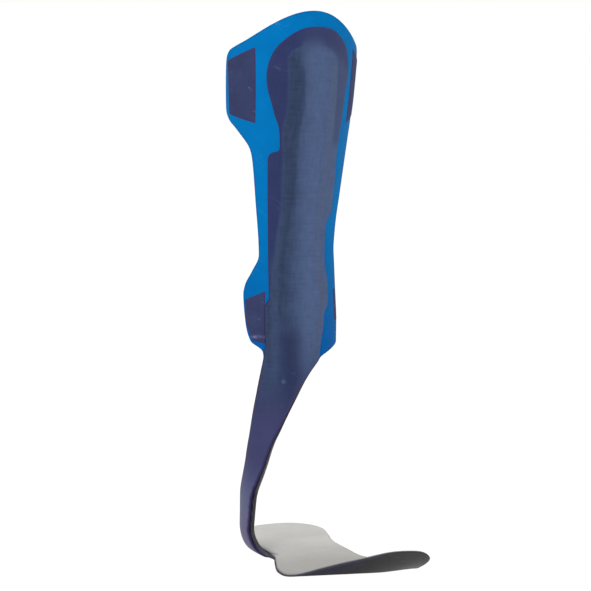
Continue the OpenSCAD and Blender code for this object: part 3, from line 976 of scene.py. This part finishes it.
def make_cloth():
    """Plain weave under resin: thread height, and the uneven tone of its threads."""
    tree, r, inputs, gives = make_group("cloth", ["place", "thread"], ["tone", "height"])
    place = scaled_place(r, inputs, "thread")
    x, y = r.parts(place)
    warp = r.maths("SINE", r.times(x, math.pi))
    weft = r.maths("SINE", r.times(y, math.pi))
    over = r.from_to(r.times(warp, weft), -0.15, 0.15)
    bulge = r.mix(over, r.maths("ABSOLUTE", warp), r.maths("ABSOLUTE", weft))
    slub_up = r.noise(r.stretched(place, 0.62, 0.12), 1.0, 2.0)
    slub_across = r.noise(r.stretched(place, 0.12, 0.62), 1.0, 2.0)
    slubs = r.mix(0.5, slub_up, slub_across)
    r.put(r.from_to(slubs, 0.3, 0.7), gives["tone"])
    r.put(r.plus(r.times(bulge, 0.6), r.times(slubs, 0.8)), gives["height"])
    return tree


def make_twill():
    """Two-by-two twill of flat carbon tows: which tow is on top, its height and its tone."""
    tree, r, inputs, gives = make_group("twill", ["place", "tow"], ["over", "height", "tone"])
    place = scaled_place(r, inputs, "tow")
    x, y = r.parts(place)
    column = r.maths("FLOOR", x)
    row = r.maths("FLOOR", y)
    step = r.maths("FLOORED_MODULO", r.plus(column, row), 4.0)
    over = r.maths("LESS_THAN", step, 1.5)
    crown_x = r.maths("POWER", r.maths("ABSOLUTE", r.maths("SINE", r.times(x, math.pi))), 0.4)
    crown_y = r.maths("POWER", r.maths("ABSOLUTE", r.maths("SINE", r.times(y, math.pi))), 0.4)
    tone_x = r.node("TexWhiteNoise", {"W": column}, noise_dimensions="1D").outputs[0]
    tone_y = r.node("TexWhiteNoise", {"W": r.plus(row, 71.3)}, noise_dimensions="1D").outputs[0]
    r.put(over, gives["over"])
    r.put(r.mix(over, crown_y, crown_x), gives["height"])
    r.put(r.mix(over, tone_y, tone_x), gives["tone"])
    return tree


def make_rim():
    """1 along the border of a sheet, fading raggedly to 0 at a width, in millimetres."""
    tree, r, inputs, gives = make_group("rim", ["place", "depth", "width"], ["mask"])
    ragged = r.from_to(r.noise(inputs["place"], 220.0, 3.0), 0.25, 0.75, 0.6, 1.4)
    reach = r.times(inputs["width"], ragged)
    share = r.maths("DIVIDE", inputs["depth"], reach)
    r.put(r.from_to(share, 0.0, 1.0, 1.0, 0.0), gives["mask"])
    return tree


def make_scuffs():
    """Sparse fine scratches, each running for a while in one direction."""
    tree, r, inputs, gives = make_group("scuffs", ["place", "size"], ["mask"])
    place = scaled_place(r, inputs, "size")
    turned = r.node("VectorRotate", {"Vector": place, "Angle": math.radians(34)})
    lines = r.noise(r.stretched(turned.outputs[0], 0.35, 2.6), 1.0, 1.0, bend=0.4)
    thin = r.from_to(r.maths("ABSOLUTE", r.plus(lines, -0.5)), 0.0, 0.012, 1.0, 0.0)
    where = r.from_to(r.noise(place, 0.55, 1.0), 0.56, 0.66)
    r.put(r.times(thin, where), gives["mask"])
    return tree


def make_carbon():
    """Colour, roughness and height of carbon twill under clear resin."""
    tree, r, inputs, gives = make_group("carbon", ["place", "tow"], ["paint", "rough", "height"])
    weave = r.use(twill, place=inputs["place"], tow=inputs["tow"])
    tone = r.use(clouds, place=inputs["place"], size=0.02)["tone"]
    sheen = r.plus(r.times(weave["over"], 0.5), r.times(weave["tone"], 0.5))
    paint = r.mix_colours(sheen, colour(17, 17, 20), colour(42, 43, 47))
    r.put(r.shade(paint, r.from_to(tone, 0.3, 0.7, 0.8, 1.15)), gives["paint"])
    r.put(r.mix(weave["over"], 0.34, 0.52), gives["rough"])
    r.put(weave["height"], gives["height"])
    return tree


def make_cut_edge():
    """Where a laminate's cut edge is, and how much lighter it is painted there: a pale line on
    each ply, partly the plies and partly painted highlight along the edge. inner runs from 0 on
    one side of the laminate to 1 on the other."""
    tree, r, inputs, gives = make_group("cut edge", ["inner", "plies"], ["mask", "light"])
    off_middle = r.maths("ABSOLUTE", r.plus(inputs["inner"], -0.5))
    r.put(r.from_to(off_middle, 0.38, 0.48, 1.0, 0.0), gives["mask"])
    # Pale lines across the cut edge: partly its plies, partly painted highlight.
    turns = r.times(r.times(inputs["inner"], math.pi), inputs["plies"])
    line = r.maths("ABSOLUTE", r.maths("SINE", turns))
    r.put(r.from_to(line, 0.6, 0.97, 1.0, 8.0), gives["light"])
    return tree


clouds = make_clouds()
cloth = make_cloth()
twill = make_twill()
carbon = make_carbon()
cut_edge = make_cut_edge()
rim = make_rim()
scuffs = make_scuffs()


# ---------------------------------------------------------------- the finishes
def start_finish(name, gloss, coat=0.0):
    """New material with its shader. gloss is the share of light that it mirrors, and coat that
    of a clear layer over it."""
    finish = bpy.data.materials.new(name)
    finish.use_nodes = True
    shader = finish.node_tree.nodes["Principled BSDF"]
    shader.inputs["Specular IOR Level"].default_value = gloss
    shader.inputs["Coat Weight"].default_value = coat
    shader.inputs["Coat Roughness"].default_value = 0.22
    return finish, Recipe(finish.node_tree), shader.inputs


def relief(r, height, depth):
    """Surface that is raised by height times depth, in metres."""
    return r.node("Bump", {"Distance": depth, "Height": height}).outputs[0]


def blue_film_finish():
    """Blue film, darker low down by painted shade, and deeper along its border."""
    finish, r, shader = start_finish("blue film", gloss=0.03)
    place = r.cut()
    up = r.parts(place)[1]
    tone = r.use(clouds, place=place, size=0.03)["tone"]
    border = r.use(rim, place=place, depth=r.mark("depth"), width=1.5)["mask"]
    wear = r.use(scuffs, place=place, size=0.012)["mask"]
    # Painted shade: the film darkens towards the bottom.
    painted_low_shade = r.from_to(up, 0.13, 0.26, 1.0, 0.0)
    paint = r.mix_colours(painted_low_shade, colour(0, 106, 170), colour(0, 82, 150))
    paint = r.shade(paint, r.from_to(tone, 0.3, 0.7, 0.94, 1.06))
    paint = r.mix_colours(r.times(border, 0.6), paint, colour(4, 52, 112))
    paint = r.mix_colours(r.times(wear, 0.07), paint, colour(120, 170, 210))
    skin = r.noise(place, 900.0, 2.0)
    r.put(paint, shader["Base Color"])
    r.put(r.from_to(tone, 0.2, 0.8, 0.40, 0.52), shader["Roughness"])
    r.put(relief(r, r.plus(skin, r.times(wear, -0.8)), 0.00003), shader["Normal"])
    return finish


# A pale bubble that was trapped under the skin, low on its lateral side
BUBBLE = Vector((*flat(-21, SHELL_LOW - 17), 0)) * MM


def spine_finish():
    """Woven skin: slate with a metal sheen on the ridge, navy beside it, violet down the strut,
    and purple along the border."""
    finish, r, shader = start_finish("navy and slate skin", gloss=0.2)
    place = r.cut()
    up = r.parts(place)[1]
    weave = r.use(cloth, place=place, thread=0.0013)
    tone = r.use(clouds, place=place, size=0.014)["tone"]
    width = r.from_to(up, 0.05, 0.075, 3.4, 1.9)
    border = r.use(rim, place=place, depth=r.mark("depth"), width=width)["mask"]
    wear = r.use(scuffs, place=place, size=0.011)["mask"]
    slate = r.mark("slate")
    paint = r.mix_colours(r.from_to(up, 0.09, 0.14), colour(54, 56, 94), colour(34, 42, 76))
    paint = r.mix_colours(r.from_to(up, 0.18, 0.23), paint, colour(41, 50, 90))
    # The slate mark also carries the painted shade that darkens the hollow above the strut to
    # navy.
    paint = r.mix_colours(slate, paint, colour(70, 87, 122))
    strut = r.mix_colours(r.from_to(up, 0.024, 0.042), colour(96, 92, 124),
                          colour(88, 94, 126))
    paint = r.mix_colours(r.from_to(up, 0.035, 0.075, 0.75, 0.0), paint, strut)
    threads = r.times(r.plus(weave["tone"], -0.5), r.mix(slate, 0.06, 0.24))
    patches = r.times(r.plus(tone, -0.5), 0.3)
    paint = r.shade(paint, r.plus(1.0, r.plus(threads, patches)))
    purple = r.mix_colours(r.from_to(up, 0.05, 0.075), colour(34, 20, 66), colour(52, 38, 84))
    border = r.times(border, r.from_to(up, 0.05, 0.075, 0.95, 0.75))
    paint = r.mix_colours(border, paint, purple)
    paint = r.mix_colours(r.times(wear, 0.12), paint, colour(120, 128, 160))
    away = r.node("VectorMath", (place, BUBBLE), operation="DISTANCE").outputs["Value"]
    bubble = r.from_to(away, 0.0004, 0.0024, 0.45, 0.0)
    paint = r.mix_colours(bubble, paint, colour(78, 104, 146))
    r.put(paint, shader["Base Color"])
    r.put(r.from_to(weave["tone"], 0.0, 1.0, 0.32, 0.4), shader["Roughness"])
    r.put(r.times(slate, 0.65), shader["Metallic"])
    height = r.plus(r.times(weave["height"], r.mix(slate, 0.25, 1.0)), r.times(wear, -0.3))
    r.put(relief(r, height, 0.00003), shader["Normal"])
    return finish


def patch_finish():
    """Napped navy patch that takes a strap, with a purple border and a pale line on its fold."""
    finish, r, shader = start_finish("strap patch", gloss=0.15)
    place = r.cut()
    tone = r.use(clouds, place=place, size=0.016)["tone"]
    border = r.use(rim, place=place, depth=r.mark("depth"), width=1.6)["mask"]
    wear = r.use(scuffs, place=place, size=0.006)["mask"]
    paint = r.shade(colour(48, 56, 92), r.from_to(tone, 0.3, 0.7, 0.88, 1.1))
    paint = r.mix_colours(r.times(border, 0.7), paint, colour(62, 44, 92))
    paint = r.mix_colours(r.times(wear, 0.5), paint, colour(104, 128, 150))
    patchy = r.from_to(r.noise(place, 300.0, 1.0), 0.4, 0.6, 0.2, 0.8)
    paint = r.mix_colours(r.times(r.mark("fold"), patchy), paint, colour(112, 116, 158))
    pile = r.noise(place, 1500.0, 2.0)
    r.put(paint, shader["Base Color"])
    r.put(r.from_to(pile, 0.2, 0.8, 0.5, 0.66), shader["Roughness"])
    r.put(relief(r, r.plus(pile, r.times(wear, -0.5)), 0.00005), shader["Normal"])
    return finish


CARBON_TOW = 0.0021


def with_cut_edge(r, paint):
    """The paint, with the laminate's cut edge black and a pale line on each of its two plies,
    partly painted highlight along the edge.
    """
    edge = r.use(cut_edge, inner=r.mark("inner"), plies=2.0)
    return r.shade(r.mix_colours(edge["mask"], paint, colour(24, 24, 26)), edge["light"])


def carbon_finish():
    """Bare carbon twill under resin, with a painted highlight along its rim."""
    finish, r, shader = start_finish("carbon twill", gloss=0.4, coat=0.5)
    place = r.cut()
    laid = r.use(carbon, place=place, tow=CARBON_TOW)
    paint = with_cut_edge(r, laid["paint"])
    wear = r.use(scuffs, place=place, size=0.014)["mask"]
    # Painted highlight: a paler grey band along the rounded rim.
    border = r.use(rim, place=place, depth=r.mark("depth"), width=0.7)["mask"]
    paint = r.mix_colours(r.times(border, 0.25), paint, colour(88, 88, 92))
    r.put(r.mix_colours(r.times(wear, 0.25), paint, colour(90, 90, 94)), shader["Base Color"])
    r.put(laid["rough"], shader["Roughness"])
    r.put(relief(r, laid["height"], 0.00008), shader["Normal"])
    return finish


def plate_finish():
    """Dark grey underside with the print of peel cloth and a painted highlight just inside its
    rounded edge, and carbon twill on the strut's root.
    """
    finish, r, shader = start_finish("plate laminate", gloss=0.3, coat=0.1)
    place = r.cut()
    strut = r.from_to(r.mark("strut"), 0.3, 0.9)
    laid = r.use(carbon, place=place, tow=CARBON_TOW)
    tone = r.use(clouds, place=place, size=0.03)["tone"]
    peel_cloth = r.use(cloth, place=place, thread=0.0008)
    across, ahead = r.parts(place)
    grey = r.mix_colours(r.from_to(across, -0.04, -0.005), colour(40, 40, 58),
                         colour(37, 37, 37))
    grey = r.shade(grey, r.from_to(tone, 0.3, 0.7, 0.85, 1.15))
    grey = r.shade(grey, r.from_to(ahead, -0.14, -0.2, 1.0, 1.45))
    # Painted highlight: a paler band just inside the underside's rounded edge, weaker medially.
    border = r.from_to(r.mark("depth"), 0.0, 3.3, 1.0, 0.0)
    border = r.times(border, r.from_to(across, -0.03, 0.0, 1.0, 0.2))
    grey = r.mix_colours(r.times(border, 0.5), grey, colour(74, 72, 86))
    grey = r.shade(grey, r.from_to(peel_cloth["tone"], 0.0, 1.0, 0.9, 1.1))
    wear = r.use(scuffs, place=place, size=0.01)["mask"]
    grey = r.mix_colours(r.times(wear, 0.3), grey, colour(110, 110, 112))
    r.put(r.mix_colours(strut, grey, with_cut_edge(r, laid["paint"])), shader["Base Color"])
    r.put(r.mix(strut, 0.62, laid["rough"]), shader["Roughness"])
    height = r.mix(strut, peel_cloth["height"], laid["height"])
    r.put(relief(r, height, 0.00006), shader["Normal"])
    return finish


def cover_finish():
    """Light grey cover with a fine grain and faint bands along the toe break, darker ahead of the
    heel by painted shade, and dark on the strut's root."""
    finish, r, shader = start_finish("plate cover", gloss=0.25)
    place = r.cut()
    along = r.node("VectorRotate", {"Vector": place, "Angle": -TOE_SKEW}).outputs[0]
    tone = r.use(clouds, place=place, size=0.035)["tone"]
    bands = r.noise(r.stretched(along, 6.0, 60.0), 1.0, 2.0)
    ahead = r.parts(place)[1]
    border = r.use(rim, place=place, depth=r.mark("depth"), width=1.4)["mask"]
    grain = r.node("TexVoronoi", {"Vector": place, "Scale": 1400.0}).outputs["Distance"]
    # Painted shade: the cover darkens from the heel towards the ball.
    paint = r.mix_colours(r.from_to(ahead, -0.01, -0.1), colour(189, 188, 185),
                          colour(157, 155, 152))
    paint = r.shade(paint, r.from_to(tone, 0.3, 0.7, 0.96, 1.04))
    paint = r.shade(paint, r.from_to(bands, 0.3, 0.7, 0.98, 1.02))
    paint = r.shade(paint, r.from_to(grain, 0.0, 0.7, 0.93, 1.03))
    paint = r.mix_colours(r.times(border, 0.5), paint, colour(120, 119, 116))
    r.put(r.mix_colours(r.mark("root"), paint, colour(24, 24, 26)), shader["Base Color"])
    r.put(r.from_to(grain, 0.0, 0.7, 0.72, 0.6), shader["Roughness"])
    r.put(relief(r, grain, 0.00002), shader["Normal"])
    return finish


navy_patch = patch_finish()
for piece, finish in ((make_film(), blue_film_finish()), (make_shell_laminate(), carbon_finish()),
                      (make_spine(), spine_finish()), (make_foot_laminate(), plate_finish()),
                      (make_cover(), cover_finish())):
    piece.data.materials.append(finish)
for name in PATCHES:
    make_patch(name).data.materials.append(navy_patch)


# ---------------------------------------------------------------- studio
def direction(azimuth, height):
    """Unit vector towards a place seen at an azimuth from the front and at a height angle."""
    a, e = math.radians(azimuth), math.radians(height)
    return Vector((math.sin(a) * math.cos(e), -math.cos(a) * math.cos(e), math.sin(e)))


CAMERA_SIDE = -22
CAMERA_HEIGHT = 5
CAMERA_FAR = 1.5
MIDDLE = Vector((-45, -112, 205)) * MM


def turn_to_middle(obj, back):
    obj.rotation_euler = (-back).to_track_quat("-Z", "Y").to_euler()


def add_camera():
    back = direction(CAMERA_SIDE, CAMERA_HEIGHT)
    view = bpy.data.cameras.new("camera")
    view.sensor_width = 36
    view.lens = 127
    camera = bpy.data.objects.new("camera", view)
    camera.location = MIDDLE + back * CAMERA_FAR
    turn_to_middle(camera, back)
    bpy.context.scene.collection.objects.link(camera)
    bpy.context.scene.camera = camera


def add_softbox(name, azimuth, height, far, wide, tall, power):
    """Soft light that no surface mirrors: what shines back is the side light alone."""
    light = bpy.data.lights.new(name, "AREA")
    light.shape = "RECTANGLE"
    light.size = wide
    light.size_y = tall
    light.energy = power
    box = bpy.data.objects.new(name, light)
    back = direction(azimuth, height)
    box.location = MIDDLE + back * far
    turn_to_middle(box, back)
    box.visible_glossy = False
    bpy.context.scene.collection.objects.link(box)


def side_light(r, toward):
    """Strength of the light that glossy surfaces mirror from a direction, by its bearing in
    degrees round from the front of the studio: bright from the right, as from a wide window, and
    dim from the front. Also gives how far to the right the direction points."""
    right, front = (r.node("VectorMath", (toward, direction(CAMERA_SIDE + turn, 0)),
                           operation="DOT_PRODUCT").outputs["Value"] for turn in (90, 0))
    bearing = r.times(r.maths("ARCTAN2", right, front), 180 / math.pi)
    shine = r.times(r.from_to(bearing, 14, 48, 0.0, 1.1), r.from_to(bearing, 52, 80, 1.0, 0.85))
    shine = r.times(shine, r.from_to(bearing, 100, 150, 1.0, 0.25))
    return r.plus(shine, r.from_to(bearing, -20, -60, 0.16, 0.5)), right


FLOOR_RADIUS = 8
FLOOR_LEVEL = -0.0002


def add_floor():
    """Pale floor that is lost in white away from the object. Glossy surfaces mirror the side
    light in it."""
    bpy.ops.mesh.primitive_circle_add(vertices=96, radius=FLOOR_RADIUS, fill_type="NGON",
                                      location=(0, 0, FLOOR_LEVEL))
    floor = bpy.context.object
    floor.name = "floor"
    finish, r, shader = start_finish("floor", gloss=0.1)
    shader["Base Color"].default_value = (0.95, 0.95, 0.95, 1)
    shader["Roughness"].default_value = 0.9
    place = r.node("TexCoord").outputs["Object"]
    away = r.node("VectorMath", (place,), operation="LENGTH").outputs["Value"]
    lit = r.node("Emission", ((1, 1, 1, 1), 1.05)).outputs[0]
    plain = finish.node_tree.nodes["Principled BSDF"].outputs[0]
    both = r.node("MixShader", (r.from_to(away, 0.1, 0.4, 0.95, 1.0), plain, lit)).outputs[0]
    dim = r.node("Emission", ((1, 1, 1, 1), side_light(r, place)[0])).outputs[0]
    mirrored = r.node("LightPath").outputs["Is Glossy Ray"]
    seen = r.node("MixShader", (mirrored, both, dim)).outputs[0]
    r.put(seen, finish.node_tree.nodes["Material Output"].inputs[0])
    floor.data.materials.append(finish)
    floor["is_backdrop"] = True


def add_surroundings():
    """White to the camera, soft light from above, and the side light for glossy surfaces."""
    world = bpy.data.worlds.new("studio")
    bpy.context.scene.world = world
    world.use_nodes = True
    r = Recipe(world.node_tree)
    toward = r.node("TexCoord").outputs["Generated"]
    shine, right = side_light(r, toward)
    above = r.node("SeparateXYZ", (toward,)).outputs["Z"]
    light = r.times(r.from_to(above, 0.0, 1.0, 0.35, 1.5), r.from_to(right, -0.2, 1.0, 1.0, 0.7))
    ray = r.node("LightPath").outputs
    background = world.node_tree.nodes["Background"].inputs
    background["Color"].default_value = (1, 1, 1, 1)
    strength = r.mix(ray["Is Glossy Ray"], light, shine)
    r.put(r.mix(ray["Is Camera Ray"], strength, 1.0), background["Strength"])


add_camera()
add_floor()
add_surroundings()
add_softbox("key", azimuth=26, height=18, far=1.8, wide=0.6, tall=1.5, power=6)
add_softbox("fill", azimuth=-60, height=25, far=2, wide=1.6, tall=1.6, power=16)
bpy.context.scene.view_settings.view_transform = "Standard"


def corners(box):
    return [list(map(float, corner)) for corner in box]


{"cad": corners(cad_box), "looks": corners(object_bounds())}
